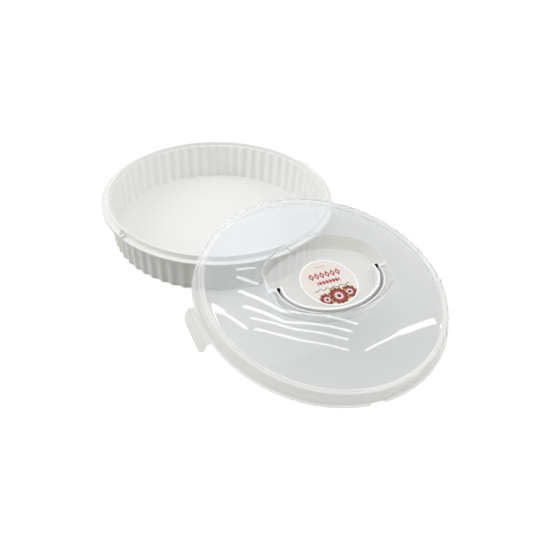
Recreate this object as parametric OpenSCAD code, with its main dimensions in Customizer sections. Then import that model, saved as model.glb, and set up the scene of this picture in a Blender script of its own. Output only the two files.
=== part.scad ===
// Round cake and pastry carrier, standing open.
// A white fluted tray stands on the table. Its clear domed lid is off and leans on the tray's
// rim, with its far edge on the table. The lid carries a folding handle in a recess, a round
// label under the handle, and two side clips on thin moulded hinges.
// Millimetres, +Z up, origin at the middle of the tray's underside.

/* [Tray] */
// Outer radius of the tray's rim
rim_r = 160; // [158:0.5:175]
// Height of the rim's flat flange above the table
flange_z = 51.8; // [40:0.2:80]
// Height of the collar above the flange
collar_h = 6.8; // [5:0.2:9]
// Width of the collar
collar_w = 3; // [2.4:0.1:4]
// Clearance from the rim's edge to the collar
flange_w = 7.4; // [6.8:0.1:8]
// Wall thickness of the tray
tray_t = 1.6; // [1.2:0.1:2]
// Width of the ledge inside the collar, at the middle of a flute
ledge_w = 2.1; // [1.9:0.1:3]
// How far the wall leans in from the ledge to the floor
wall_draft = 3.3; // [1:0.1:6]
// Number of flutes round the wall
flutes = 60; // [40:1:72]
// Depth of a flute, from crest to hollow
flute_depth = 2.2; // [1:0.1:2.6]
// Depth of the lip under the flange's edge
lip_h = 3; // [2.4:0.1:4]
// Height of the two clip seats above the flange
seat_h = 2.2; // [1.6:0.1:3]
// Arc of each clip seat
seat_arc = 91; // [60:1:100]
// Direction of the clip seats' middle
seat_dir = 175.5; // [0:0.5:359]
// How far the end lugs stand out of the rim
lug_out = 0.6; // [0.4:0.1:2]

/* [Lid] */
// Width of the lid's bottom flange
lid_flange_w = 2.7; // [2.2:0.1:4]
// Wall thickness of the lid
lid_wall = 1.3; // [1:0.05:1.6]
// Running clearance between the collar and the lid's skirt
collar_gap = 0.4; // [0.3:0.05:0.8]
// Height of the ridge on top of the skirt
ridge_h = 18.2; // [16:0.2:24]
// Width of the ridge
ridge_w = 6.6; // [5:0.1:9]
// How far the skirt leans in from the step to the ridge
skirt_draft = 2; // [1:0.1:3]
// Height of the dome's crown, without its recess
dome_h = 48; // [42:0.5:60]
// Length of the gap in the lid's flange, front and back
flange_gap = 16.5; // [8:0.5:24]

/* [Recess] */
// Half the length of the recess, at its mouth
recess_x = 77; // [76:0.5:84]
// Half the width of the recess, at its mouth
recess_y = 59.5; // [58:0.5:66]
// Radius of the long curved sides
recess_arc = 108; // [100:1:130]
// Radius that takes off the four corners
recess_corner = 80.5; // [78:0.5:86]
// Height of the recess floor above the lid's bottom edge
recess_z = 22; // [20:0.2:26]
// How far the recess walls lean in, for each mm of depth
recess_draft = 0.16; // [0.1:0.01:0.2]

/* [Handle] */
// Half the length of the handle
handle_x = 70; // [66:0.5:71]
// How far the handle reaches from its pivots
handle_y = 53; // [48:0.5:54]
// Width of the channel section
handle_w = 8.6; // [7.6:0.1:9.4]
// Height of the channel section
handle_h = 12; // [11:0.1:13]
// Wall thickness of the handle
handle_wall = 1.4; // [1.2:0.05:1.8]
// How far the arms run past the pivots
arm_past = 3; // [2.6:0.1:5]
// Side of the square hole at the end of each arm
arm_hole = 5.2; // [3:0.1:5.6]
// Diameter of the pivot pins
pivot_d = 5; // [4:0.1:5.5]
// Diametral running clearance of a pivot pin
pivot_play = 0.1; // [0.06:0.02:0.16]
// Length of a pivot pin behind the recess wall
pivot_out = 2.4; // [1.6:0.1:3.5]
// Gap between the folded handle and the recess floor
handle_gap = 0.5; // [0.4:0.1:0.8]

/* [Clips] */
// Length of a clip along its hinge
clip_len = 54; // [40:1:60]
// Thickness of a clip
clip_t = 1.5; // [1.2:0.1:1.8]
// How far a clip hangs below the lid's bottom edge
clip_drop = 17; // [13:0.1:20]
// Radius of the clip's lower corners
clip_corner = 8; // [4:0.5:10]
// Clearance between the clip and the rim's edge
clip_gap = 0.4; // [0.3:0.1:0.8]
// How far the hook reaches under the rim's lip
hook_in = 1.4; // [0.8:0.1:1.5]
// How far open a clip hangs while the lid is off
clip_rest = 17; // [0:1:40]
// Thickness of the moulded hinge
web_t = 0.4; // [0.3:0.05:0.6]
// Width of the moulded hinge
web_w = 1.2; // [1:0.1:1.6]

/* [Label] */
// Radius of the label
label_r = 36; // [30:0.5:38]
// Thickness of the label
label_t = 0.3; // [0.2:0.05:0.4]
// How far the label sits off the middle, along the handle's pivots
label_off = 4; // [0:0.5:8]

/* [Resting place of the lid] */
// Distance between the middles of the tray and the lid
lean_reach = 232.8; // [215:0.1:270]
// Direction from the tray's middle to the lid's middle
lean_dir = -52; // [-90:0.5:0]
// Turn of the lid about its own axis
lid_turn = 28.3; // [0:0.1:60]
// Gap between the lid's edge and the tray's collar
lean_gap = 0.2; // [0.1:0.05:0.4]

/* [Hidden] */
$fn = 180;

white = "#E6E7E6";
clear = [0.80, 0.83, 0.85, 0.45];
cream = "#E9DDD3";

// Tray, worked out from the rim inwards and down
collar_out = rim_r - flange_w;
collar_in = collar_out - collar_w;
collar_top = flange_z + collar_h;
ledge_z = flange_z + 1.2;
wall_top_r = collar_in - ledge_w;
wall_foot_r = wall_top_r - wall_draft;
flute_amp = flute_depth / 2;
flute_steps = 6;
floor_t = 1.8;
round_r = 0.7;
collar_lean = 0.3;
under_gap = 0.2;
seat_z = flange_z + seat_h;
seat_step = 0.2;
lug_arc = 8;
lug_past = 4.8;
lug_start = 2;
notch_arc = 1.4;
notch_floor = 0.1;
notch_dirs = [223.4, 38.6];
bite = 0.5;

// Lid, worked out from the collar that it fits over
skirt_in = collar_out + collar_gap;
skirt_out = skirt_in + lid_wall;
lid_r = skirt_out + lid_flange_w;
flange_t = 1.4;
gap_turn = 5;
step_z = 8.6;
step_in = 0.8;
ridge_out = skirt_out - step_in - skirt_draft;
ridge_in = ridge_out - ridge_w;
ridge_round = 2.2;
groove_drop = 1.4;
dome_r = ridge_in - 1;
dome_foot = ridge_h - groove_drop;
dome_rise = dome_h - dome_foot;
dome_ball_r = (dome_r * dome_r + dome_rise * dome_rise) / (2 * dome_rise);

// Handle and its pivots, in the lid's own frame
handle_z = recess_z + handle_gap;
pivot_drop = 3;
pivot_z = handle_z + handle_h - pivot_drop;
pivot_y = -1.5;
grip_arc = 92;
elbow_y = 14.5;
elbow_out = 4.8;
recess_top = dome_h + 2;

// Clips, which hang round the rim's edge when the lid is on
clip_hinge = skirt_out + web_w / 2 + 0.1;
clip_face = rim_r + clip_gap;
clip_out = clip_face + clip_t;
clip_bend = 1.1;
seat_gap = 0.3;
hook_gap = 0.3;
hook_z = -(seat_h + lip_h + seat_gap + hook_gap);
hook_lead = 0.6;
hook_low = 3.4;
web_z = flange_t - web_t / 2;
web_gap = 0.1;
web_end = 1;

// The lid rests where its far edge meets the table and its near edge meets the collar.
// The tilt is found by halving the interval that holds it.
near_s = lean_reach - (lean_reach * lean_reach + collar_out * collar_out - skirt_in * skirt_in)
    / (2 * lean_reach);
function edge_z(t) = lid_r * sin(t) + near_s * tan(t);
function find_tilt(lo, hi, n) =
    n == 0 ? (lo + hi) / 2 :
    edge_z((lo + hi) / 2) < collar_top + lean_gap ? find_tilt((lo + hi) / 2, hi, n - 1) :
    find_tilt(lo, (lo + hi) / 2, n - 1);
lid_tilt = find_tilt(0, 40, 30);
lid_z = lid_r * sin(lid_tilt);

// Puts a lid piece, drawn upright about the lid's own axis, where the lid rests
module at_lid() {
    translate([lean_reach * cos(lean_dir), lean_reach * sin(lean_dir), lid_z])
        rotate([0, 0, lean_dir])
        rotate([0, lid_tilt, 0])
        rotate([0, 0, lid_turn - lean_dir])
        children();
}

// One closed fluted outline of mean radius r
function flute_points(r) = [
    for (i = [0 : flutes * flute_steps - 1])
        let (a = i * 360 / (flutes * flute_steps))
        (r + flute_amp * cos(a * flutes)) * [cos(a), sin(a)]
];

module tray_floor() {
    color(white)
    linear_extrude(height = floor_t)
        polygon(flute_points(wall_foot_r + tray_t));
}

// The fluted wall: one closed tube, fluted alike inside and outside, standing on the floor's edge
module tray_wall() {
    n = flutes * flute_steps;
    rings = [
        [wall_foot_r + tray_t, floor_t],
        [wall_top_r + tray_t, ledge_z - tray_t],
        [wall_top_r, ledge_z - tray_t],
        [wall_foot_r, floor_t]
    ];
    points = [for (ring = rings) for (p = flute_points(ring[0])) [p[0], p[1], ring[1]]];
    faces = [
        for (k = [0 : 3])
            for (i = [0 : n - 1])
                let (j = (i + 1) % n, m = (k + 1) % 4)
                each [[k * n + i, m * n + i, k * n + j], [k * n + j, m * n + i, m * n + j]]
    ];
    color(white)
    polyhedron(points, faces);
}

// Collar, ledge, flange and lip, as one profile swept round the rim
module rim_ring() {
    rotate_extrude()
        polygon([
            [wall_top_r - flute_depth, ledge_z - tray_t],
            [wall_top_r - flute_depth, ledge_z],
            [collar_in, ledge_z],
            [collar_in + collar_lean, collar_top - round_r],
            [collar_in + collar_lean + round_r, collar_top],
            [collar_out - round_r, collar_top],
            [collar_out, collar_top - round_r],
            [collar_out, flange_z],
            [rim_r - round_r, flange_z],
            [rim_r, flange_z - round_r],
            [rim_r, flange_z - lip_h],
            [rim_r - tray_t, flange_z - lip_h],
            [rim_r - tray_t, flange_z - tray_t],
            [collar_out, flange_z - tray_t],
            [wall_top_r + tray_t + flute_amp + under_gap, ledge_z - tray_t]
        ]);
}

// One raised clip seat, centred on +X
module clip_seat() {
    rotate([0, 0, -seat_arc / 2])
        rotate_extrude(angle = seat_arc)
        polygon([
            [collar_out - 1, flange_z - bite],
            [collar_out - 1, seat_z],
            [rim_r - seat_step - round_r, seat_z],
            [rim_r - seat_step, seat_z - round_r],
            [rim_r - seat_step, flange_z - bite]
        ]);
}

// The raised lug that closes one end of a clip seat
module seat_lug() {
    rotate([0, 0, seat_arc / 2 + lug_past - lug_arc])
        rotate_extrude(angle = lug_arc)
        translate([collar_out + lug_start, flange_z - bite])
        square([rim_r + lug_out - collar_out - lug_start, seat_h + 2 * bite]);
}

// The notch beside a lug
module seat_notch() {
    rotate([0, 0, -notch_arc / 2])
        rotate_extrude(angle = notch_arc)
        translate([rim_r - 3 * tray_t, flange_z + notch_floor])
        square([2 * tray_t, seat_h + 1]);
}

// The whole rim: the swept ring with its two clip seats, their lugs and the two notches
module tray_rim() {
    color(white)
    difference() {
        union() {
            rim_ring();
            for (side = [0, 180])
                rotate([0, 0, seat_dir + side]) {
                    clip_seat();
                    seat_lug();
                }
        }
        for (dir = notch_dirs)
            rotate([0, 0, dir])
                seat_notch();
        // The ledge's inner edge follows the flutes
        translate([0, 0, ledge_z - tray_t - 1])
            linear_extrude(height = tray_t + 2)
            polygon(flute_points(wall_top_r));
    }
}

// The skirt, its step, the ridge on top and the groove inside it, as one swept wall
module skirt_ring() {
    in_r = ridge_in + groove_drop;
    rotate_extrude()
        polygon([
            [skirt_in, 0],
            [skirt_out, 0],
            [skirt_out, step_z],
            [skirt_out - step_in, step_z + step_in],
            [ridge_out, ridge_h - ridge_round],
            [ridge_out - ridge_round / 3, ridge_h - ridge_round / 3],
            [ridge_out - ridge_round, ridge_h],
            [in_r, ridge_h],
            [ridge_in, dome_foot],
            [dome_r, dome_foot],
            [dome_r, dome_foot - lid_wall],
            [ridge_in + lid_wall / 2, dome_foot - lid_wall],
            [in_r + lid_wall / 2, ridge_h - lid_wall],
            [ridge_out - ridge_round - lid_wall / 2, ridge_h - lid_wall],
            [ridge_out - lid_wall, ridge_h - ridge_round - lid_wall / 2],
            [skirt_in - step_in, step_z + step_in - lid_wall / 2],
            [skirt_in, step_z - lid_wall / 2]
        ]);
}

// The bottom flange, cut straight where the clips hinge and open at the front and back gaps
module lid_flange() {
    difference() {
        cylinder(r = lid_r, h = flange_t);
        translate([0, 0, -1])
            cylinder(r = skirt_in + lid_wall / 2, h = flange_t + 2);
        for (side = [1, -1]) {
            translate([side * (clip_hinge - web_w / 2 + lid_r), 0, 0])
                cube([2 * lid_r, clip_len + 2, 4 * flange_t], center = true);
            rotate([0, 0, side * 90 - gap_turn])
                translate([lid_r, 0, 0])
                cube([2 * lid_flange_w, flange_gap, 4 * flange_t], center = true);
        }
    }
}

// The lid's lower zone, which stands round the collar and carries the clips
module lid_skirt() {
    color(clear)
    at_lid() {
        skirt_ring();
        lid_flange();
    }
}

// The ball that the dome is a cap of
module dome_ball(inset) {
    translate([0, 0, dome_h - dome_ball_r])
        sphere(r = dome_ball_r - inset);
}

// The recess as a solid plug with leaning sides, grown by grow for the cup's outside
module recess_plug(grow) {
    depth = recess_top - recess_z + grow;
    lean = depth * recess_draft;
    arc_mid = recess_arc - recess_y;
    translate([0, 0, recess_z - grow])
    intersection() {
        translate([0, arc_mid, 0])
            cylinder(r1 = recess_arc + grow - lean, r2 = recess_arc + grow, h = depth);
        translate([0, -arc_mid, 0])
            cylinder(r1 = recess_arc + grow - lean, r2 = recess_arc + grow, h = depth);
        cylinder(r1 = recess_corner + grow - lean, r2 = recess_corner + grow, h = depth);
        rotate([90, 0, 0])
            linear_extrude(height = 4 * recess_y, center = true)
            polygon([
                [-(recess_x + grow - lean), 0],
                [recess_x + grow - lean, 0],
                [recess_x + grow, depth],
                [-(recess_x + grow), depth]
            ]);
    }
}

// The thin dome, open in the middle for the recess
module lid_dome() {
    color(clear)
    at_lid()
    difference() {
        intersection() {
            dome_ball(0);
            translate([0, 0, dome_foot - lid_wall])
                cylinder(r = dome_r, h = dome_rise + 2 * lid_wall);
        }
        dome_ball(lid_wall);
        recess_plug(lid_wall);
    }
}

// The wall round the recess, up to the dome's outer face, with the bores for the handle's pivots
module recess_wall() {
    color(clear)
    at_lid()
    difference() {
        intersection() {
            recess_plug(lid_wall);
            dome_ball(0);
        }
        recess_plug(0);
        translate([0, 0, recess_z - 2 * lid_wall])
            cylinder(r = 2 * recess_x, h = 2 * lid_wall);
        translate([0, pivot_y, pivot_z])
            rotate([0, 90, 0])
            cylinder(d = pivot_d + pivot_play, h = 2 * recess_x + 8, center = true);
    }
}

module recess_floor() {
    color(clear)
    at_lid()
    intersection() {
        recess_plug(lid_wall);
        translate([0, 0, recess_z - 2 * lid_wall])
            cylinder(r = 2 * recess_x, h = 2 * lid_wall);
    }
}

// Outline of the handle from above, inset by a wall where needed: two straight arms, two
// rounded elbows and a curved grip
module handle_plan(inset) {
    half = handle_x - inset;
    intersection() {
        translate([-half, -handle_y - 1])
            square([2 * half, handle_y + 1 + arm_past]);
        translate([0, grip_arc - handle_y])
            circle(r = grip_arc - inset);
        translate([0, elbow_y])
            circle(r = handle_x + elbow_out - inset);
    }
}

// The band between two insets of the handle's outline, its arms ending past the pivots
module handle_band(outer, inner, past) {
    difference() {
        intersection() {
            handle_plan(outer);
            translate([-handle_x, -handle_y])
                square([2 * handle_x, handle_y + past]);
        }
        handle_plan(inner);
        translate([-(handle_x - inner), 0])
            square([2 * (handle_x - inner), 4 * arm_past]);
    }
}

// The carrying handle, a channel open on top, with a pivot pin and a square hole in each arm
module carry_handle() {
    color(white)
    at_lid()
    translate([0, pivot_y, 0])
    difference() {
        union() {
            translate([0, 0, handle_z])
                linear_extrude(height = handle_h)
                handle_band(0, handle_w, arm_past);
            for (side = [0, 180])
                rotate([0, 0, side])
                translate([handle_x - handle_wall, 0, pivot_z])
                rotate([0, 90, 0])
                cylinder(d = pivot_d, h = recess_x + pivot_out - handle_x + handle_wall);
        }
        translate([0, 0, handle_z + handle_wall])
            linear_extrude(height = handle_h)
            handle_band(handle_wall, handle_w - handle_wall, arm_past - handle_wall);
        for (side = [1, -1])
            translate([side * (handle_x - handle_w / 2), arm_past - handle_wall - arm_hole / 2,
                handle_z])
            cube([arm_hole, arm_hole, 4 * handle_wall], center = true);
        // The arm ends are rounded below, so that they clear the recess floor as they turn
        difference() {
            translate([-handle_x - 1, 0, handle_z - 1])
                cube([2 * handle_x + 2, 2 * arm_past, pivot_z - handle_z + 1]);
            translate([0, 0, pivot_z])
                rotate([0, 90, 0])
                cylinder(r = pivot_z - handle_z, h = 4 * handle_x, center = true);
        }
    }
}

// Section of a clip: across the rim's edge, down its side and in under the lip
module clip_section() {
    start = clip_hinge + web_w / 2;
    bevel = clip_t - web_z - web_t / 2;
    polygon([
        [start, 0],
        [clip_face, 0],
        [clip_face, hook_z],
        [clip_face - hook_in, hook_z - hook_lead],
        [clip_face - hook_in, hook_z - 2 * hook_lead],
        [clip_face, hook_z - hook_low],
        [clip_face, -clip_drop],
        [clip_out, -clip_drop],
        [clip_out, clip_t - clip_bend],
        [clip_out - clip_bend, clip_t],
        [start + bevel, clip_t],
        [start, clip_t - bevel]
    ]);
}

// One closed clip at +X, its lower corners rounded
module clip() {
    intersection() {
        rotate([90, 0, 0])
            linear_extrude(height = clip_len, center = true)
            clip_section();
        rotate([90, 0, 90])
            linear_extrude(height = 2 * clip_out)
            union() {
                translate([-clip_len / 2, -clip_drop + clip_corner])
                    square([clip_len, clip_drop - clip_corner + clip_t]);
                translate([-clip_len / 2 + clip_corner, -clip_drop])
                    square([clip_len - 2 * clip_corner, clip_corner]);
                for (side = [1, -1])
                    translate([side * (clip_len / 2 - clip_corner), -clip_drop + clip_corner])
                        circle(r = clip_corner);
            }
    }
}

// The thin strip that a clip bends on, moulded to the flange
module hinge_web() {
    translate([clip_hinge - web_w / 2, web_end - clip_len / 2, web_z - web_t / 2])
        cube([web_w - web_gap, clip_len - 2 * web_end, web_t]);
}

// A clip about its hinge, hanging a little open
module hung_clip() {
    translate([clip_hinge, 0, web_z])
        rotate([0, -clip_rest, 0])
        translate([-clip_hinge, 0, -web_z])
        clip();
}

module clip_left() {
    color(clear)
    at_lid()
    rotate([0, 0, 180])
    hung_clip();
}

module clip_right() {
    color(clear)
    at_lid()
    hung_clip();
}

module hinge_web_left() {
    color(clear)
    at_lid()
    rotate([0, 0, 180])
    hinge_web();
}

module hinge_web_right() {
    color(clear)
    at_lid()
    hinge_web();
}

module label() {
    color(cream)
    at_lid()
    translate([label_off, 0, recess_z])
        cylinder(r = label_r, h = label_t);
}

tray_floor();
tray_wall();
tray_rim();
lid_skirt();
lid_dome();
recess_wall();
recess_floor();
carry_handle();
clip_left();
clip_right();
hinge_web_left();
hinge_web_right();
label();
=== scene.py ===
"""Round cake carrier: a white fluted tray with its clear domed lid leaning on the rim.

All sizes are in millimetres in the maker's own drawing and become metres in the mesh. Tray
pieces are drawn about the tray's axis and lid pieces about the lid's axis, upright.
"""
import math
import bpy
import numpy as np
from mathutils import Matrix, Vector


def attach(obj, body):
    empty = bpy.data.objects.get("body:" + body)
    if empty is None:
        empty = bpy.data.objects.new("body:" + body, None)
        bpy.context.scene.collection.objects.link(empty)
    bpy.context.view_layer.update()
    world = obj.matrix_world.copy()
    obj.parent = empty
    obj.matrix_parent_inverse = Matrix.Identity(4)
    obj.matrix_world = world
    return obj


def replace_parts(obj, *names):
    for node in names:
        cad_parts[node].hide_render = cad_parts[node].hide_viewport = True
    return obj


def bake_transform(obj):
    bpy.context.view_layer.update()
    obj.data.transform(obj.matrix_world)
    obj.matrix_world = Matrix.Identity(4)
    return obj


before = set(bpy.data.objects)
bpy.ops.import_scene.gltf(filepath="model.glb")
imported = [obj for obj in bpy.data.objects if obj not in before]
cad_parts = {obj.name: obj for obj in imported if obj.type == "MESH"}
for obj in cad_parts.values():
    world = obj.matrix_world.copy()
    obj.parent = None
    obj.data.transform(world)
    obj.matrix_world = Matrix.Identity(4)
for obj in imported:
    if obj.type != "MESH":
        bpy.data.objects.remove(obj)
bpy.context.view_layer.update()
scene = bpy.context.scene
MM = 0.001

# Camera at the photograph's viewing angle, taken from the fitted outlines
FOCAL_PX = 698.38
IMAGE_PX = 550
SENSOR_MM = 36
CAM_RISE = math.radians(37.73)
CAM_ROLL = math.radians(3.10)
CAM_AIM = Vector((85.19, -106.19, 0)) * MM
CAM_FAR = 924.53 * MM
CAM_NEAREST = 0.05


def set_camera():
    """The scene's camera, aimed at a point on the floor and rolled a little."""
    along = Vector((0, math.cos(CAM_RISE), -math.sin(CAM_RISE)))
    side = Vector((1, 0, 0))
    over = side.cross(along)
    right = side * math.cos(CAM_ROLL) + over * math.sin(CAM_ROLL)
    up = over * math.cos(CAM_ROLL) - side * math.sin(CAM_ROLL)
    data = bpy.data.cameras.new("camera")
    data.sensor_width = SENSOR_MM
    data.lens = FOCAL_PX * SENSOR_MM / IMAGE_PX
    data.clip_start = CAM_NEAREST
    camera = bpy.data.objects.new("camera", data)
    turn = Matrix((right, up, -along)).transposed().to_4x4()
    camera.matrix_world = Matrix.Translation(CAM_AIM - along * CAM_FAR) @ turn
    scene.collection.objects.link(camera)
    scene.camera = camera


# Tray sizes, in millimetres, and directions and arcs in degrees. The clips grip two raised
# seats on the flange, each with a lug at one end and a notch.
RIM_R = 160
FLANGE_Z = 51.8
TRAY_T = 1.6
LIP_H = 3
FLUTES = 60
FLUTE_DEPTH = 2.2
FLUTE_STEPS = 12
COLLAR_OUT = 152.6
COLLAR_IN = 149.6
COLLAR_TOP = 58.6
COLLAR_LEAN = 0.3
LEDGE_Z = 53
LEDGE_UNDER = 1.4
WALL_TOP = 147.5
WALL_FOOT = 144.2
FLOOR_T = 1.8
SEAT_H = 2.2
SEAT_ARC = 91
SEAT_DIR = 175.5
SEAT_STEP = 0.2
LUG_ARC = 8
LUG_PAST = 4.8
LUG_OUT = 0.6
LUG_UP = 0.5
LUG_IN = 154.6
NOTCH_ARC = 1.4
NOTCH_DIRS = (223.4, 38.6)
NOTCH_Z = 0.1

# Lid sizes. The ridge stands between the dome and the skirt, and the flange at the skirt's
# foot has two gaps. The recess is a straight-ended hollow with curved sides, and its mouth,
# where it meets the dome, is found by going back and forth between the two.
SKIRT_IN = 153.0
SKIRT_OUT = 154.3
LID_WALL = 1.3
LID_R = 157.0
LID_FLANGE_T = 1.4
STEP_Z = 8.6
STEP_IN = 0.8
RIDGE_OUT = 151.5
RIDGE_IN = 144.9
RIDGE_H = 18.2
RIDGE_RISE = 1.4
RIDGE_LINE = 2.6
DOME_R = 143.9
DOME_H = 48
DOME_FOOT = 16.8
DOME_ROWS = 26
DOME_UNDER = 0.3
DOME_BALL = (DOME_R ** 2 + (DOME_H - DOME_FOOT) ** 2) / (2 * (DOME_H - DOME_FOOT))
RECESS_X = 77
RECESS_Y = 59.5
RECESS_ARC = 108
RECESS_SOFT = 2.6
RECESS_Z = 22
RECESS_TOP = 50
RECESS_DRAFT = 0.16
MOUTH_GUESS = 70.0
MOUTH_ROUNDS = 12
FLANGE_GAP = 16.5
GAP_LEFT = 0.15
GAP_DIRS = (85, 265)
LID_STEPS = 600

# Handle sizes. Its outline is an arc between two straight arms, and HANDLE_RUN is about the
# outline's length.
HANDLE_X = 70
HANDLE_Y = 53
HANDLE_W = 8.6
HANDLE_H = 12
HANDLE_WALL = 1.4
GRIP_WALL = 3
HANDLE_Z = 22.5
HANDLE_ARC = 92
HANDLE_SOFT = 0.6
HANDLE_RUN = 320
HANDLE_ROWS = 110
HANDLE_BREAK = 0.35
CHANNEL_DRAFT = 0.3
ELBOW_Y = 14.5
ELBOW_OUT = 4.8
ARM_PAST = 3
ARM_HOLE = 5.2
ARM_STEP = 1.5
HOLE_EDGE = 0.08
PIVOT_Y = -1.5
PIVOT_Z = 31.5
PIVOT_R = 2.5
PIN_END = 79.4
PIN_SOFT = 0.4
PIN_TIP = 0.84
PIN_STEP = 15

# Clip, hinge strip and label sizes
CLIP_HINGE = 155.0
CLIP_LEN = 54
CLIP_SPARE = 1
CLIP_BREAK = 0.3
CLIP_REST = math.radians(17)
WEB_W = 1.2
WEB_T = 0.4
WEB_Z = 1.2
WEB_STEPS = 12
WEB_BITE = 0.05
WEB_THINNING = 0.25
LABEL_R = 36
LABEL_T = 0.3
LABEL_OFF = 4
LABEL_STEP = 3

# How the shapes are divided. Angles and steps of direction are in degrees. SMOOTH_ANGLE is the
# sharpest edge that is shaded smooth, RISE the lean of an upright step in a profile, and
# SIDE_SHARE the share of a profile's side that the softening of either end may take. Flat
# floors have rows at these shares of their radius.
SMOOTH_ANGLE = 42
BREAK_ANGLE = 35
RISE = 0.05
EDGE_STEP = 0.04
LEAST_STEP = 0.03
SIDE_SHARE = 0.48
NEARLY_ONE = 0.999
LEAST_COS = 0.05
SLACK = 0.01
FLOOR_IN = 0.5
FLOOR_OUT = 0.97
CUP_IN = 0.4

# Finishes
PLASTIC_IOR = 1.49
FILM_IOR = 1.45
SHADOW_TINT = (0.90, 0.91, 0.92, 1)

# Satin plastics: name, colour, and the colour of the flow shades
SATIN_FINISHES = [
    ("white_plastic_moulded", (0.82, 0.825, 0.81, 1), (0.79, 0.80, 0.775, 1)),
    ("handle_plastic_moulded", (0.90, 0.90, 0.895, 1), (0.87, 0.87, 0.865, 1)),
    # Painted shade: black, for the deep shade in the handle's end sockets; the handle itself is
    # white.
    ("handle_socket_painted_shade", (0.03, 0.03, 0.028, 1), (0.02, 0.02, 0.02, 1)),
    # Painted shade: grey, for the shade in the handle's channel; the handle itself is white.
    ("handle_channel_painted_shade", (0.76, 0.755, 0.74, 1), (0.72, 0.715, 0.70, 1)),
]

# Clear plastics: name, colour, haze, roughness and IOR. Edges and the recess have a low IOR,
# so that they don't turn dark as a thick solid would.
CLEAR_FINISHES = [
    ("plastic", (0.895, 0.91, 0.94, 1), 0.11, 0.035, PLASTIC_IOR),
    ("edge", (0.955, 0.96, 0.96, 1), 0.22, 0.18, 1.14),
    ("recess", (1.0, 1.0, 1.0, 1), 0.12, 0.05, 1.2),
    ("recess_floor", (0.965, 0.965, 0.965, 1), 0.20, 0.08, PLASTIC_IOR),
    ("ridge", (0.98, 0.98, 0.985, 1), 0.36, 0.12, 1.2),
]

# The label's print: its colours, and places and sizes as shares of its radius
CREAM = (0.753, 0.716, 0.666, 1)
PAPER = (0.92, 0.91, 0.90, 1)
WINE = (0.42, 0.045, 0.055, 1)
DARK = (0.10, 0.022, 0.018, 1)
GOLD = (0.50, 0.30, 0.11, 1)
SLATE = (0.07, 0.075, 0.075, 1)
BORDER = 0.95

# Level rows of diamonds: colour, place, step, height and reach
DIAMONDS = [
    (WINE, 0.70, 0.09, 0.035, 0.20),
    (WINE, 0.34, 0.20, 0.15, 0.62),
    (CREAM, 0.34, 0.20, 0.06, 0.62),
    (WINE, 0.03, 0.12, 0.10, 0.42),
]

# Rosettes: place across and up, radius, petals. Their rings: radius and colour
ROSETTES = [(-0.42, -0.66, 0.27, 9), (0.48, -0.56, 0.29, 9), (0.04, -0.62, 0.38, 12)]
RINGS = [(0.93, GOLD), (0.80, DARK), (0.62, WINE), (0.36, PAPER), (0.22, DARK)]
PETAL = 0.07

# Where the lid leans
LEAN_REACH = 232.8
LEAN_DIR = math.radians(-52)
LEAN_TILT = math.radians(12.282886515)
LID_TURN = math.radians(28.3)


def lid_place():
    """The lid's place: from its own upright drawing to where it leans."""
    at = Vector((LEAN_REACH * math.cos(LEAN_DIR), LEAN_REACH * math.sin(LEAN_DIR),
                 LID_R * math.sin(LEAN_TILT)))
    return (Matrix.Translation(at) @ Matrix.Rotation(LEAN_DIR, 4, "Z")
            @ Matrix.Rotation(LEAN_TILT, 4, "Y") @ Matrix.Rotation(LID_TURN - LEAN_DIR, 4, "Z"))


LID = np.array(lid_place())


def placed(points, place=None):
    """Points in millimetres, put in place and turned to metres."""
    points = np.asarray(points, float)
    if place is not None:
        points = points @ place[:3, :3].T + place[:3, 3]
    return points * MM


def piece(name, points, faces, material, smooth=True):
    """A mesh object at the origin."""
    mesh = bpy.data.meshes.new(name)
    mesh.from_pydata([tuple(p) for p in points], [], [tuple(f) for f in faces])
    mesh.materials.append(material)
    mesh.validate()
    if smooth:
        mesh.shade_smooth()
        mesh.set_sharp_from_angle(angle=math.radians(SMOOTH_ANGLE))
    made = bpy.data.objects.new(name, mesh)
    scene.collection.objects.link(made)
    return made


def paint_faces(made, others, zones):
    """Further materials for a piece, and which of its materials each face has."""
    for other in others:
        made.data.materials.append(other)
    made.data.polygons.foreach_set("material_index", np.asarray(zones, np.int32))


def break_edges(made, width, angle):
    """A narrow bevel on the edges that are sharper than angle, in degrees."""
    bevel = made.modifiers.new("broken_edges", "BEVEL")
    bevel.width = width * MM
    bevel.segments = 2
    bevel.limit_method = "ANGLE"
    bevel.angle_limit = math.radians(angle)


def unit(v):
    """v with length 1 along its last axis."""
    size = np.linalg.norm(v, axis=-1, keepdims=True)
    return v / np.maximum(size, 1e-9)


def rounded(corners):
    """Rows of a profile whose corners are softened. Each corner starts with r, z, radius and
    steps, and r and z may change round the piece. Returns r and z as arrays of row by
    direction."""
    n = max(np.size(value) for corner in corners for value in corner[:2])
    at = [np.stack([np.broadcast_to(c[0], n), np.broadcast_to(c[1], n)], -1).astype(float)
          for c in corners]
    rows = []
    for i, (radius, steps) in enumerate(corner[2:4] for corner in corners):
        if steps < 2 or i in (0, len(corners) - 1):
            rows.append(at[i])
            continue
        back, ahead = at[i - 1] - at[i], at[i + 1] - at[i]
        room = SIDE_SHARE * np.minimum(np.linalg.norm(back, axis=-1),
                                       np.linalg.norm(ahead, axis=-1))
        cos = np.clip((unit(back) * unit(ahead)).sum(-1), -NEARLY_ONE, NEARLY_ONE)
        reach = np.minimum(radius / np.tan(np.arccos(cos) / 2), room)[:, None]
        start, end = at[i] + unit(back) * reach, at[i] + unit(ahead) * reach
        for u in np.linspace(0, 1, steps):
            rows.append((1 - u) ** 2 * start + 2 * u * (1 - u) * at[i] + u ** 2 * end)
    rows = np.array(rows)
    return rows[:, :, 0], rows[:, :, 1]


def row_labels(corners):
    """The last value of each corner, repeated for the rows that rounding makes of it."""
    last = len(corners) - 1
    return np.concatenate([[c[4]] * (c[3] if c[3] > 1 and 0 < i < last else 1)
                           for i, c in enumerate(corners)])


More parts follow.
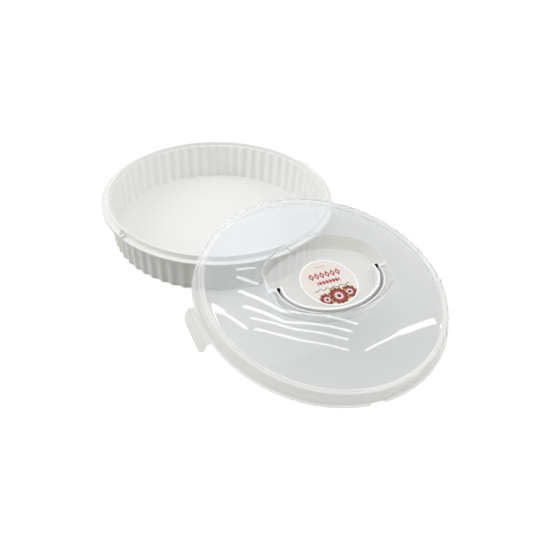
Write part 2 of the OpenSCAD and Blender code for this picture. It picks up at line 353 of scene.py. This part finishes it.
def turned(r, z, directions):
    """Points and faces of a closed shell turned about its axis: the first and the last row
    end on the axis."""
    rows, n = r.shape
    x, y = r * np.cos(directions), r * np.sin(directions)
    points = np.stack([x, y, z], -1).reshape(-1, 3)
    first, last = len(points), len(points) + 1
    points = np.vstack([points, [0, 0, z[0].mean()], [0, 0, z[-1].mean()]])
    faces = []
    for k in range(rows - 1):
        a, b = k * n, (k + 1) * n
        faces += [(a + i, b + i, b + (i + 1) % n, a + (i + 1) % n) for i in range(n)]
    faces += [(first, i, (i + 1) % n) for i in range(n)]
    end = (rows - 1) * n
    faces += [(last, end + (i + 1) % n, end + i) for i in range(n)]
    return points, faces


def spread(count, edges):
    """Directions in radians round a piece, count of them, with extra ones at sharp edges."""
    plain = np.arange(count) * 360 / count
    extra = [e + s for e in edges for s in (-EDGE_STEP, EDGE_STEP)]
    both = np.array(sorted(set(np.round(np.mod(np.concatenate([plain, extra]), 360), 4))))
    keep = np.append(np.diff(both) > LEAST_STEP, True)
    return np.radians(both[keep])


def inside(directions, middle, arc):
    """1 for directions, in radians, within an arc round middle, both in degrees, else 0."""
    away = np.abs((np.degrees(directions) - middle + 180) % 360 - 180)
    return (away < arc / 2).astype(float)


def ends_of(middles, arc):
    """The directions in which arcs of this width round their middles begin and end."""
    return [middle + s * arc / 2 for middle in middles for s in (-1, 1)]


def across(way, x):
    """Distance of a straight side, x from the middle, in each direction."""
    return x / np.maximum(np.abs(np.cos(way)), LEAST_COS)


def least_of(cuts, soft):
    """The least of several outlines in each direction, with their meetings rounded by soft."""
    cuts = np.array(cuts)
    least = cuts.min(0)
    return least - soft * np.log(np.exp(-(cuts - least) / soft).sum(0))


class Num:
    """A number in a node tree: operators add Math nodes."""

    def __init__(self, nodes, socket):
        self.nodes, self.socket = nodes, socket

    def _math(self, operation, a, b=0.0):
        made = self.nodes.add("ShaderNodeMath", {"operation": operation}, {0: a, 1: b})
        return Num(self.nodes, made.outputs[0])

    def __add__(self, other):
        return self._math("ADD", self, other)

    def __radd__(self, other):
        return self._math("ADD", other, self)

    def __sub__(self, other):
        return self._math("SUBTRACT", self, other)

    def __rsub__(self, other):
        return self._math("SUBTRACT", other, self)

    def __mul__(self, other):
        return self._math("MULTIPLY", self, other)

    def __rmul__(self, other):
        return self._math("MULTIPLY", other, self)

    def __abs__(self):
        return self._math("ABSOLUTE", self)

    def below(self, other):
        """1 where this number is less than other, else 0."""
        return self._math("LESS_THAN", self, other)

    def above(self, other):
        """1 where this number is more than other, else 0."""
        return self._math("GREATER_THAN", self, other)

    def call(self, operation, b=0.0):
        """Any other Math node on this number, or on this number and b."""
        return self._math(operation, self, b)


class Nodes:
    """A node tree, and one way to add any node to it."""

    def __init__(self, tree):
        self.tree = tree

    def add(self, kind, settings=None, inputs=None):
        """A node of that type, its settings first, then the values or links of its sockets."""
        made = self.tree.nodes.new(kind)
        for key, value in (settings or {}).items():
            setattr(made, key, value)
        for key, value in (inputs or {}).items():
            if isinstance(value, Num):
                value = value.socket
            if isinstance(value, bpy.types.NodeSocket):
                self.tree.links.new(value, made.inputs[key])
            else:
                made.inputs[key].default_value = value
        return made

    def num(self, kind, settings=None, inputs=None, out=0):
        """As add, and returns one of the node's outputs as a number."""
        return Num(self, self.add(kind, settings, inputs).outputs[out])

    def noise(self, place, scale, detail):
        """Soft random patches, from 0 to 1."""
        return self.num("ShaderNodeTexNoise", None,
                        {"Vector": place, "Scale": scale, "Detail": detail})

    def bump(self, height, strength, distance):
        """The normal of a surface that height presses in, distance deep."""
        return self.add("ShaderNodeBump", None, {"Strength": strength, "Distance": distance,
                                                 "Height": height}).outputs[0]

    def rays(self, *kinds):
        """1 for rays of these kinds, such as those from the camera, else 0."""
        path = self.add("ShaderNodeLightPath")
        first, *others = [Num(self, path.outputs[f"Is {kind} Ray"]) for kind in kinds]
        for other in others:
            first = first.call("MAXIMUM", other)
        return first

    def mix(self, factor, a, b):
        """A colour between a and b."""
        made = self.add("ShaderNodeMix", {"data_type": "RGBA"}, {0: factor, 6: a, 7: b})
        return made.outputs[2]


class Paint(Nodes):
    """One material and its nodes."""

    def __init__(self, name):
        self.material = bpy.data.materials.new(name)
        self.material.use_nodes = True
        super().__init__(self.material.node_tree)
        self.tree.nodes.clear()

    def finish(self, shader):
        """Ends the material in this shader."""
        self.add("ShaderNodeOutputMaterial", None, {"Surface": shader.outputs[0]})
        return self.material


def own_place(paint):
    """Object coordinates."""
    return paint.add("ShaderNodeTexCoord").outputs["Object"]


def satin_plastic(name, colour, low):
    """Satin plastic with a fine moulded grain and faint flow shades, from colour to low."""
    p = Paint(name)
    spot = own_place(p)
    cloud = p.noise(spot, scale=14, detail=3)
    grain = p.noise(spot, scale=1400, detail=2)
    shader = p.add("ShaderNodeBsdfPrincipled", None, {
        "Base Color": p.mix(cloud, colour, low), "Roughness": 0.34 + 0.10 * cloud,
        "IOR": PLASTIC_IOR, "Normal": p.bump(grain, strength=0.06, distance=0.0002)})
    return p.finish(shader)


def cloudy_clear(name, colour, haze, rough, ior):
    """Thin clear plastic with a faint milky haze and slightly uneven faces. The lamps' light
    goes straight through it."""
    p = Paint(name)
    spot = own_place(p)
    cloud = p.noise(spot, scale=9, detail=2)
    wave = p.noise(spot, scale=24, detail=1)
    shader = p.add("ShaderNodeBsdfPrincipled", None, {
        "Base Color": colour, "Roughness": rough * (0.8 + 0.4 * cloud), "IOR": ior,
        "Transmission Weight": 1 - haze, "Normal": p.bump(wave, strength=0.10, distance=0.001)})
    pane = p.add("ShaderNodeBsdfTransparent", None, {"Color": SHADOW_TINT})
    both = p.add("ShaderNodeMixShader", None, {0: p.rays("Shadow"), 1: shader.outputs[0],
                                               2: pane.outputs[0]})
    return p.finish(both)


def printed_label():
    """Cream label with a plain border: rows of diamonds, a wavy line and three rosettes."""
    p = Paint("label_print")
    uv = p.add("ShaderNodeUVMap", {"uv_map": "print"}).outputs[0]
    parts = p.add("ShaderNodeSeparateXYZ", None, {0: uv})
    x, y = Num(p, parts.outputs[0]), Num(p, parts.outputs[1])
    radius = (x * x + y * y).call("SQRT")
    tone = CREAM
    for colour, at, step, size, reach in DIAMONDS:
        part = abs((x * (1 / step)).call("FRACT") - 0.5) * step
        spot = (part * 1.6 + abs(y - at)).below(size)
        tone = p.mix(spot * abs(x).below(reach), tone, colour)
    wavy = abs(y + 0.24 - 0.035 * (x * 24).call("SINE")).below(0.014)
    tone = p.mix(wavy * abs(x).below(0.66), tone, SLATE)
    for middle, at, size, petals in ROSETTES:
        dx, dy = x - middle, y - at
        out = (dx * dx + dy * dy).call("SQRT") * (1 / size)
        wave = PETAL * (dy.call("ARCTAN2", dx) * petals).call("COSINE")
        for edge, colour in RINGS:
            tone = p.mix(out.below(edge + wave), tone, colour)
    shader = p.add("ShaderNodeBsdfPrincipled", None, {
        "Base Color": p.mix(radius.above(BORDER), tone, PAPER),
        "Roughness": 0.30 + 0.1 * radius, "IOR": FILM_IOR})
    return p.finish(shader)


def flute_tree(material):
    """The node tree that presses the flutes into the tray's wall. Each point's own number,
    flute, says how much of the flute it takes."""
    tree = bpy.data.node_groups.new("tray_flutes", "GeometryNodeTree")
    tree.is_modifier = True
    face = tree.interface
    face.new_socket("Geometry", in_out="INPUT", socket_type="NodeSocketGeometry")
    count = face.new_socket("Flutes", in_out="INPUT", socket_type="NodeSocketInt")
    depth = face.new_socket("Flute depth", in_out="INPUT", socket_type="NodeSocketFloat")
    face.new_socket("Geometry", in_out="OUTPUT", socket_type="NodeSocketGeometry")

    n = Nodes(tree)
    start = n.add("NodeGroupInput").outputs
    spot = n.add("GeometryNodeInputPosition").outputs[0]
    parts = n.add("ShaderNodeSeparateXYZ", None, {0: spot}).outputs
    angle = Num(n, parts[1]).call("ARCTAN2", Num(n, parts[0]))
    wave = (angle * Num(n, start["Flutes"])).call("COSINE")
    share = n.num("GeometryNodeInputNamedAttribute", {"data_type": "FLOAT"}, {"Name": "flute"})
    push = wave * (Num(n, start["Flute depth"]) * 0.5) * share
    flat = n.add("ShaderNodeVectorMath", {"operation": "MULTIPLY"}, {0: spot, 1: (1, 1, 0)})
    outward = n.add("ShaderNodeVectorMath", {"operation": "NORMALIZE"}, {0: flat.outputs[0]})
    move = n.add("ShaderNodeVectorMath", {"operation": "SCALE"},
                 {0: outward.outputs[0], "Scale": push})
    pressed = n.add("GeometryNodeSetPosition", None,
                    {"Geometry": start["Geometry"], "Offset": move.outputs[0]})
    real = n.add("GeometryNodeRealizeInstances", None, {0: pressed.outputs[0]})
    done = n.add("GeometryNodeSetMaterial", None,
                 {"Geometry": real.outputs[0], "Material": material})
    n.add("NodeGroupOutput", None, {0: done.outputs[0]})
    return tree, count.identifier, depth.identifier


def baked(made, name):
    """The evaluated shape of made as a plain mesh object."""
    graph = bpy.context.evaluated_depsgraph_get()
    mesh = bpy.data.meshes.new_from_object(made.evaluated_get(graph))
    mesh.name = name
    plain = bpy.data.objects.new(name, mesh)
    scene.collection.objects.link(plain)
    bpy.data.objects.remove(made)
    return plain


def make_tray(material):
    """The tray as one moulding: floor, fluted wall, ledge, collar, flange, seats and lugs."""
    seats = [SEAT_DIR + side for side in (0, 180)]
    lugs = [middle + SEAT_ARC / 2 + LUG_PAST - LUG_ARC / 2 for middle in seats]
    way = spread(FLUTES * FLUTE_STEPS, ends_of(seats, SEAT_ARC) + ends_of(lugs, LUG_ARC)
                 + ends_of(NOTCH_DIRS, NOTCH_ARC))
    seat = sum(inside(way, middle, SEAT_ARC) for middle in seats)
    lug = sum(inside(way, middle, LUG_ARC) for middle in lugs)
    notch = sum(inside(way, middle, NOTCH_ARC) for middle in NOTCH_DIRS)
    top = FLANGE_Z + SEAT_H * seat
    crest = np.where(lug > 0, FLANGE_Z + SEAT_H + LUG_UP, top)
    dip = np.where(notch > 0, FLANGE_Z + NOTCH_Z, crest)
    edge = RIM_R + np.where(lug > 0, LUG_OUT, -SEAT_STEP * seat)
    low = RIM_R - 3 * TRAY_T
    high = RIM_R - TRAY_T
    ledge = LEDGE_Z - TRAY_T
    lip = FLANGE_Z - LIP_H
    # Radius, height, rounding, steps of the rounding, share of the flutes
    corners = [
        (WALL_FOOT * FLOOR_IN, FLOOR_T, 0, 1, 0),
        (WALL_FOOT * FLOOR_OUT, FLOOR_T, 0, 1, 0),
        (WALL_FOOT, FLOOR_T, 1.8, 5, 1),
        (WALL_TOP, LEDGE_Z, 0.5, 4, 1),
        (COLLAR_IN, LEDGE_Z, 0.5, 4, 0),
        (COLLAR_IN + COLLAR_LEAN, COLLAR_TOP, 0.9, 5, 0),
        (COLLAR_OUT, COLLAR_TOP, 0.9, 5, 0),
        (COLLAR_OUT, top, 0.5, 4, 0),
        (LUG_IN, top, 0, 1, 0),
        (LUG_IN + RISE, crest, 0, 1, 0),
        (low - RISE, crest, 0, 1, 0),
        (low, dip, 0, 1, 0),
        (high, dip, 0, 1, 0),
        (high + RISE, crest, 0, 1, 0),
        (edge, crest, 0.7, 5, 0),
        (edge, FLANGE_Z - LUG_UP, 0, 1, 0),
        (RIM_R, FLANGE_Z - LUG_UP - 2 * RISE, 0, 1, 0),
        (RIM_R, lip, 0.5, 4, 0),
        (high, lip, 0.5, 4, 0),
        (high, FLANGE_Z - TRAY_T, 0.4, 3, 0),
        (COLLAR_OUT, FLANGE_Z - TRAY_T, 1, 3, 0),
        (WALL_TOP + TRAY_T + LEDGE_UNDER, ledge, 0.4, 3, 0),
        (WALL_TOP + TRAY_T, ledge, 0.5, 3, 1),
        (WALL_FOOT + TRAY_T, 0, 1.6, 5, 1),
        (WALL_FOOT * FLOOR_OUT, 0, 0, 1, 0),
        (WALL_FOOT * FLOOR_IN, 0, 0, 1, 0),
    ]
    points, faces = turned(*rounded(corners), way)
    weight = np.append(np.repeat(row_labels(corners), len(way)), [0, 0]).astype(float)
    raw = piece("tray_raw", placed(points), faces, material)
    layer = raw.data.attributes.new("flute", "FLOAT", "POINT")
    layer.data.foreach_set("value", weight)
    tree, count, depth = flute_tree(material)
    press = raw.modifiers.new("flutes", "NODES")
    press.node_group = tree
    press[count] = FLUTES
    press[depth] = FLUTE_DEPTH * MM
    tray = baked(raw, "tray_moulding")
    tray.data.attributes.remove(tray.data.attributes["flute"])
    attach(tray, "tray")
    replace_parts(tray, "tray_floor", "tray_wall", "tray_rim")


def recess_edge(way, z):
    """Radius of the recess wall in each direction, at height z."""
    lean = RECESS_DRAFT * (RECESS_TOP - z)
    middle = RECESS_ARC - RECESS_Y
    arc = RECESS_ARC - lean
    cuts = []
    for side in (1, -1):
        toward = -side * middle * np.sin(way)
        cuts.append(toward + np.sqrt(toward ** 2 + arc ** 2 - middle ** 2))
    cuts.append(across(way, RECESS_X - lean))
    return least_of(cuts, RECESS_SOFT)


def dome_z(r, inset=0.0):
    """Height of the dome at radius r, or of a face that lies inset below it."""
    return DOME_H - DOME_BALL + np.sqrt((DOME_BALL - inset) ** 2 - r ** 2)


def make_lid(clear, edge, cup, base, ridge):
    """The lid as one moulding, from the recess floor out to the flange and back inside."""
    gap_arc = 2 * math.degrees(FLANGE_GAP / 2 / LID_R)
    half = CLIP_LEN / 2 + CLIP_SPARE
    flat_arc = 2 * math.degrees(math.asin(half / LID_R))
    way = spread(LID_STEPS, ends_of(GAP_DIRS, gap_arc) + ends_of((0, 180), flat_arc))
    mouth = np.full(way.shape, MOUTH_GUESS)
    for _ in range(MOUTH_ROUNDS):
        mouth = recess_edge(way, dome_z(mouth))
    foot = recess_edge(way, RECESS_Z)
    gap = sum(inside(way, middle, gap_arc) for middle in GAP_DIRS)
    rim = np.where(gap > 0, SKIRT_OUT + GAP_LEFT, LID_R)
    flat = np.minimum(rim, across(way, CLIP_HINGE - WEB_W / 2))
    rim = np.where(np.abs(LID_R * np.sin(way)) < half, flat, rim)
    under = mouth + LID_WALL
    hollow = DOME_R - DOME_UNDER
    floor = RECESS_Z - LID_WALL
    # Radius, height, rounding, steps of the rounding, material of the row that starts here:
    # 0 clear, 1 edge, 2 recess wall, 3 recess floor, 4 ridge
    corners = [(foot * CUP_IN, RECESS_Z, 0, 1, 3), (foot, RECESS_Z, 1.6, 5, 2),
               (mouth, dome_z(mouth), 1.8, 6, 0)]
    for t in np.linspace(0, 1, DOME_ROWS)[1:-1]:
        r = mouth + t * (DOME_R - mouth)
        corners.append((r, dome_z(r), 0, 1, 0))
    corners += [
        (DOME_R, DOME_FOOT, 1.0, 3, 1),
        (RIDGE_IN, DOME_FOOT, 0.8, 3, 4),
        (RIDGE_IN + RIDGE_RISE, RIDGE_H, 0.9, 5, 4),
        (RIDGE_IN + RIDGE_LINE, RIDGE_H, 0, 1, 1),
        (RIDGE_OUT, RIDGE_H, 2.2, 7, 1),
        (SKIRT_OUT - STEP_IN, STEP_Z + STEP_IN, 0.4, 3, 1),
        (SKIRT_OUT, STEP_Z, 0.5, 3, 1),
        (SKIRT_OUT, LID_FLANGE_T, 0.4, 3, 1),
        (rim, LID_FLANGE_T, 0.3, 3, 1),
        (rim, 0, 0.3, 3, 1),
        (SKIRT_IN, 0, 0.3, 3, 1),
        (SKIRT_IN, STEP_Z - LID_WALL / 2, 0.6, 3, 1),
        (SKIRT_OUT - STEP_IN - LID_WALL, STEP_Z + STEP_IN - LID_WALL / 2, 0.4, 3, 1),
        (RIDGE_OUT - LID_WALL - 0.4, RIDGE_H - LID_WALL, 1.8, 6, 1),
        (RIDGE_IN + RIDGE_RISE + LID_WALL * 0.6, RIDGE_H - LID_WALL, 0.6, 4, 1),
        (RIDGE_IN + LID_WALL * 0.4, DOME_FOOT - LID_WALL, 0.8, 3, 1),
        (hollow, DOME_FOOT - LID_WALL, 1.0, 3, 0),
    ]
    for t in np.linspace(1, 0, DOME_ROWS)[1:-1]:
        r = under + t * (hollow - under)
        corners.append((r, dome_z(r, LID_WALL), 0, 1, 0))
    corners += [(under, dome_z(under, LID_WALL), 1.2, 6, 2), (foot + LID_WALL, floor, 2.4, 5, 2),
                (foot * FLOOR_OUT, floor, 0, 1, 3), (foot * CUP_IN, floor, 0, 1, 3)]
    points, faces = turned(*rounded(corners), way)
    lid = piece("lid_moulding", placed(points, LID), faces, clear)
    zones = np.append(row_labels(corners)[:-1], [3, 3])
    paint_faces(lid, (edge, cup, base, ridge), np.repeat(zones, len(way)))
    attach(lid, "lid")
    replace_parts(lid, "lid_skirt", "lid_dome", "recess_wall", "recess_floor")


def make_label(material):
    """The round label, a thin disc with softly broken edges and its own print coordinates."""
    way = np.radians(np.arange(0, 360, LABEL_STEP))
    half = np.full(way.shape, LABEL_R * FLOOR_IN)
    points, faces = turned(*rounded([(half, LABEL_T, 0, 1), (LABEL_R, LABEL_T, 0.15, 3),
                                     (LABEL_R, 0, 0.05, 2), (half, 0, 0, 1)]), way)
    points[:, 0] += LABEL_OFF
    points[:, 2] += RECESS_Z
    label = piece("label_disc", placed(points, LID), faces, material, smooth=False)
    layer = label.data.uv_layers.new(name="print")
    flat = (points[:, :2] - [LABEL_OFF, 0]) / LABEL_R
    corner = [v for face in label.data.polygons for v in face.vertices]
    layer.data.foreach_set("uv", flat[corner].ravel())
    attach(label, "lid")
    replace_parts(label, "label")


def handle_edge(way, inset):
    """Distance of the handle's outline from its own middle in each direction."""
    top = HANDLE_ARC - HANDLE_Y - ELBOW_Y
    toward = -top * np.sin(way)
    cuts = [np.full(way.shape, HANDLE_X + ELBOW_OUT - inset), across(way, HANDLE_X - inset),
            -toward + np.sqrt(toward ** 2 + (HANDLE_ARC - inset) ** 2 - top ** 2)]
    return least_of(cuts, HANDLE_SOFT)


def handle_pin(side, first):
    """Points and faces of a pivot pin. Its faces count its points from first."""
    turn = np.radians(np.arange(0, 360, PIN_STEP))
    rings = []
    for x, radius in ((HANDLE_X - 1, 1), (PIN_END - PIN_SOFT, 1), (PIN_END, PIN_TIP)):
        rings.append(np.stack([np.full(turn.shape, side * x),
                               PIVOT_Y + radius * PIVOT_R * np.cos(turn),
                               PIVOT_Z + radius * PIVOT_R * np.sin(turn) * side], -1))
    c = len(turn)
    faces = []
    for a in (first, first + c):
        faces += [(a + i, a + (i + 1) % c, a + c + (i + 1) % c, a + c + i) for i in range(c)]
    return np.vstack(rings), faces + [tuple(range(first, first + c))[::-1],
                                      tuple(range(first + 2 * c, first + 3 * c))]


def make_handle(white, dark, grey):
    """The carrying handle: a channel swept round its outline, all of white plastic. Its channel
    is
    painted with shade: black near each end, for the deep shade in the sockets there, and grey
    between them, for the shade in the channel."""
    wall, past_wall, hole_end = (HANDLE_WALL + past for past in (0, HOLE_EDGE, ARM_HOLE))
    half = np.linspace(hole_end + ARM_STEP, HANDLE_RUN / 2, HANDLE_ROWS)
    run = np.concatenate([[0, wall, past_wall, hole_end], half])
    run = np.concatenate([run, HANDLE_RUN - run[-2::-1]]) / HANDLE_RUN
    top, low, deep = HANDLE_Z + HANDLE_H, HANDLE_Z, HANDLE_Z + HANDLE_WALL
    inner = HANDLE_W - GRIP_WALL
    # Distance in from the outline, height, and 1 for the channel's floor
    section = [(0, low, 0), (0, top, 0), (wall, top, 0), (wall + CHANNEL_DRAFT, deep, 1),
               (inner - CHANNEL_DRAFT, deep, 1), (inner, top, 0), (HANDLE_W, top, 0),
               (HANDLE_W, low, 0)]
    from_end = np.minimum(run, 1 - run) * HANDLE_RUN
    shut = from_end < past_wall - SLACK
    lines = []
    for inset, height, floor in section:
        end = math.atan2(ARM_PAST - ELBOW_Y, HANDLE_X - inset)
        way = end + run * (-math.pi - 2 * end)
        r = handle_edge(way, inset)
        x, y = r * np.cos(way), ELBOW_Y + r * np.sin(way)
        z = np.where(shut & (floor > 0), top - RISE, height)
        under = PIVOT_Z - np.sqrt(np.maximum((PIVOT_Z - low) ** 2 - np.maximum(y, 0) ** 2, 0))
        lines.append(np.stack([x, y + PIVOT_Y, np.where(height == low, under, z)], -1))
    points = np.stack(lines, 1)
    n, m = points.shape[:2]
    points = points.reshape(-1, 3)
    faces, tones = [], []
    for k in range(n - 1):
        near = min(run[k], 1 - run[k + 1]) * HANDLE_RUN
        hole = wall - SLACK < near < hole_end - SLACK
        # Painted shade: tone 1 colours the channel black near the ends, for the shade in the
        # sockets, and tone 2 grey elsewhere, for the shade in the channel.
        tones += [1 if hole and i in (2, 3, 4) else 2 if i in (2, 3) else 0 for i in range(m)]
        a, b = k * m, (k + 1) * m
        faces += [(a + i, a + (i + 1) % m, b + (i + 1) % m, b + i) for i in range(m)]
    faces += [tuple(range(m))[::-1], tuple((n - 1) * m + i for i in range(m))]
    for side in (1, -1):
        more, closed = handle_pin(side, len(points))
        points = np.vstack([points, more])
        faces += closed
    tones += [0] * (len(faces) - len(tones))
    handle = piece("handle_moulding", placed(points, LID), faces, white)
    paint_faces(handle, (dark, grey), tones)
    break_edges(handle, HANDLE_BREAK, SMOOTH_ANGLE)
    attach(handle, "handle")
    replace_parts(handle, "carry_handle")


def make_web(side, body, material):
    """The thin strip that a clip bends on, from the lid's edge to the clip's, where it hangs."""
    half = CLIP_LEN / 2 - CLIP_SPARE
    reach = WEB_W / 2 + WEB_BITE
    t = np.linspace(0, 1, WEB_STEPS + 1)
    out = np.array([math.cos(CLIP_REST), math.sin(CLIP_REST)])
    line = (t[:, None] ** 2 * out - (1 - t[:, None]) ** 2 * [1, 0]) * reach
    lean = t * CLIP_REST
    thick = WEB_T / 2 * (1 - WEB_THINNING * np.sin(math.pi * t) ** 2)
    points, faces = [], []
    for (x, z), a, h in zip(line, lean, thick):
        for y, s in ((-half, -h), (half, -h), (half, h), (-half, h)):
            points.append((side * (CLIP_HINGE + x - s * math.sin(a)), side * y,
                           WEB_Z + z + s * math.cos(a)))
    for k in range(WEB_STEPS):
        a, b = 4 * k, 4 * (k + 1)
        faces += [(a + i, a + (i + 1) % 4, b + (i + 1) % 4, b + i) for i in range(4)]
    faces += [(3, 2, 1, 0), tuple(4 * WEB_STEPS + i for i in range(4))]
    web = piece("hinge_strip_" + body[-1], placed(points, LID), faces, material, smooth=False)
    ends = placed([(side * (CLIP_HINGE + x), 0, WEB_Z + z) for x, z in (line[0], line[-1])], LID)
    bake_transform(web)
    return web


def soften(node, material):
    """A CAD node that keeps its shape, with broken edges and its finish."""
    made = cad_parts[node]
    for slot in made.material_slots:
        slot.material = material
    if not made.material_slots:
        made.data.materials.append(material)
    break_edges(made, CLIP_BREAK, BREAK_ANGLE)


# The stage, in metres. WORLD is the share of the world's light that falls on the object, and
# THROUGH is how bright the floor looks through clear plastic.
WORLD = 0.6
THROUGH = 0.39
FLOOR_GLOW = 0.80
FLOOR_COLOUR = (0.32, 0.32, 0.275, 1)
FLOOR_HALF = 6
FLOOR_Z = -0.0002
WHITE_LIGHT = (1, 1, 1, 1)

# Soft lamps: name, place, the point that it faces, width and height, watts, and whether it
# shows through clear plastic
LAMPS = [
    ("top_lamp", (-0.1, -0.1, 1.6), (0.05, -0.05, 0), (1.3, 1.1), 6, True),
    ("left_lamp", (-1.2, -0.15, 0.8), (0.05, -0.05, 0.03), (0.7, 0.9), 7, False),
    ("right_lamp", (1.35, 0.0, 0.9), (0.05, -0.05, 0.03), (0.7, 0.9), 7, False),
]

# Points of each bright strip, and the width of the strip after each point but the last
STRIP_LEVEL = 8
STRIP_AIM = Vector((0.14, -0.18, 0.05))
STRIPS = [
    ([(-0.44, 0.27, 1.40), (0.06, -0.05, 1.55), (0.91, -0.05, 1.35)], (0.045, 0.03)),
    ([(-0.40, 0.05, 1.46), (0.08, -0.19, 1.56), (0.86, -0.17, 1.38)], (0.045, 0.03)),
    ([(-0.32, -0.13, 1.50), (0.21, -0.28, 1.55), (0.83, -0.29, 1.40)], (0.03, 0.03)),
    ([(-0.27, -0.28, 1.52), (0.27, -0.42, 1.54), (0.84, -0.42, 1.38)], (0.03, 0.025)),
    ([(-0.74, 0.13, 1.30), (-0.60, -0.02, 1.37), (-0.36, -0.27, 1.50)], (0.075, 0.035)),
    ([(1.01, -0.36, 1.29), (1.31, 0.05, 1.03), (1.50, 0.46, 0.57)], (0.03, 0.06)),
    ([(-0.45, 0.58, 1.26), (-0.25, 0.59, 1.32)], (0.03,)),
    ([(-0.45, 0.48, 1.31), (-0.23, 0.35, 1.43)], (0.04,)),
]


def lamp(name, width, height, power):
    """A rectangular lamp, not yet in its place."""
    data = bpy.data.lights.new(name, "AREA")
    data.shape = "RECTANGLE"
    data.size, data.size_y = width, height
    data.energy = power
    made = bpy.data.objects.new(name, data)
    scene.collection.objects.link(made)
    return made


def soft_lamp(name, at, aim, size, power, through):
    """A soft lamp at a place, turned to face aim, that leaves no reflection."""
    made = lamp(name, *size, power)
    made.location = at
    made.rotation_euler = (Vector(aim) - Vector(at)).to_track_quat("-Z", "Y").to_euler()
    made.visible_glossy = False
    made.visible_transmission = through


def strip(name, a, b, width):
    """A narrow bright lamp from a to b that shows only in glossy faces."""
    a, b = Vector(a), Vector(b)
    middle = (a + b) / 2
    length = (b - a).length
    along = (b - a).normalized()
    back = (middle - STRIP_AIM).normalized()
    back = (back - along * back.dot(along)).normalized()
    made = lamp(name, length, width, STRIP_LEVEL * math.pi * length * width)
    turn = Matrix((along, back.cross(along), back)).transposed().to_4x4()
    made.matrix_world = Matrix.Translation(middle) @ turn
    made.visible_diffuse = made.visible_transmission = False


def set_floor():
    """The pale floor. It glows for the camera and in gloss, and less through clear plastic."""
    p = Paint("pale_floor")
    through = p.rays("Transmission")
    seen = p.rays("Camera", "Glossy") - (1 - THROUGH) * through
    seen = seen.call("MAXIMUM", THROUGH * through)
    diffuse = p.add("ShaderNodeBsdfDiffuse", None, {"Color": FLOOR_COLOUR})
    glow = p.add("ShaderNodeEmission", None, {"Color": WHITE_LIGHT,
                                              "Strength": seen * FLOOR_GLOW})
    both = p.add("ShaderNodeAddShader", None, {0: diffuse.outputs[0], 1: glow.outputs[0]})
    corners = [(FLOOR_HALF * x, FLOOR_HALF * y, FLOOR_Z)
               for x, y in ((-1, -1), (1, -1), (1, 1), (-1, 1))]
    piece("floor", corners, [(0, 1, 2, 3)], p.finish(both), smooth=False)


def set_world():
    """White for the camera and in clear or glossy faces, and soft light for the rest."""
    world = bpy.data.worlds.new("studio")
    world.use_nodes = True
    scene.world = world
    sky = Nodes(world.node_tree)
    level = sky.rays("Camera", "Transmission", "Glossy") * (1 - WORLD) + WORLD
    back = sky.tree.nodes["Background"]
    back.inputs["Color"].default_value = WHITE_LIGHT
    sky.tree.links.new(level.socket, back.inputs["Strength"])


def set_stage():
    """Floor, world, soft lamps and bright strips."""
    set_floor()
    set_world()
    for facts in LAMPS:
        soft_lamp(*facts)
    for i, (path, widths) in enumerate(STRIPS):
        for k, width in enumerate(widths):
            strip(f"strip_{i}_{k}", path[k], path[k + 1], width)


def main():
    """Builds the scene."""
    scene.view_settings.view_transform = "Standard"
    set_camera()
    set_stage()
    # socket and shade are painted shade for the handle's sockets and channel, not plastics of
    # their own.
    white, bail, socket, shade = [satin_plastic(*facts) for facts in SATIN_FINISHES]
    clear, edge, cup, base, ridge = [cloudy_clear("cloudy_clear_" + name, *facts)
                                     for name, *facts in CLEAR_FINISHES]
    make_tray(white)
    make_lid(clear, edge, cup, base, ridge)
    make_label(printed_label())
    for side, body, name in ((-1, "clip_l", "left"), (1, "clip_r", "right")):
        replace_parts(make_web(side, body, edge), "hinge_web_" + name)
        soften("clip_" + name, edge)
    make_handle(bail, socket, shade)


main()
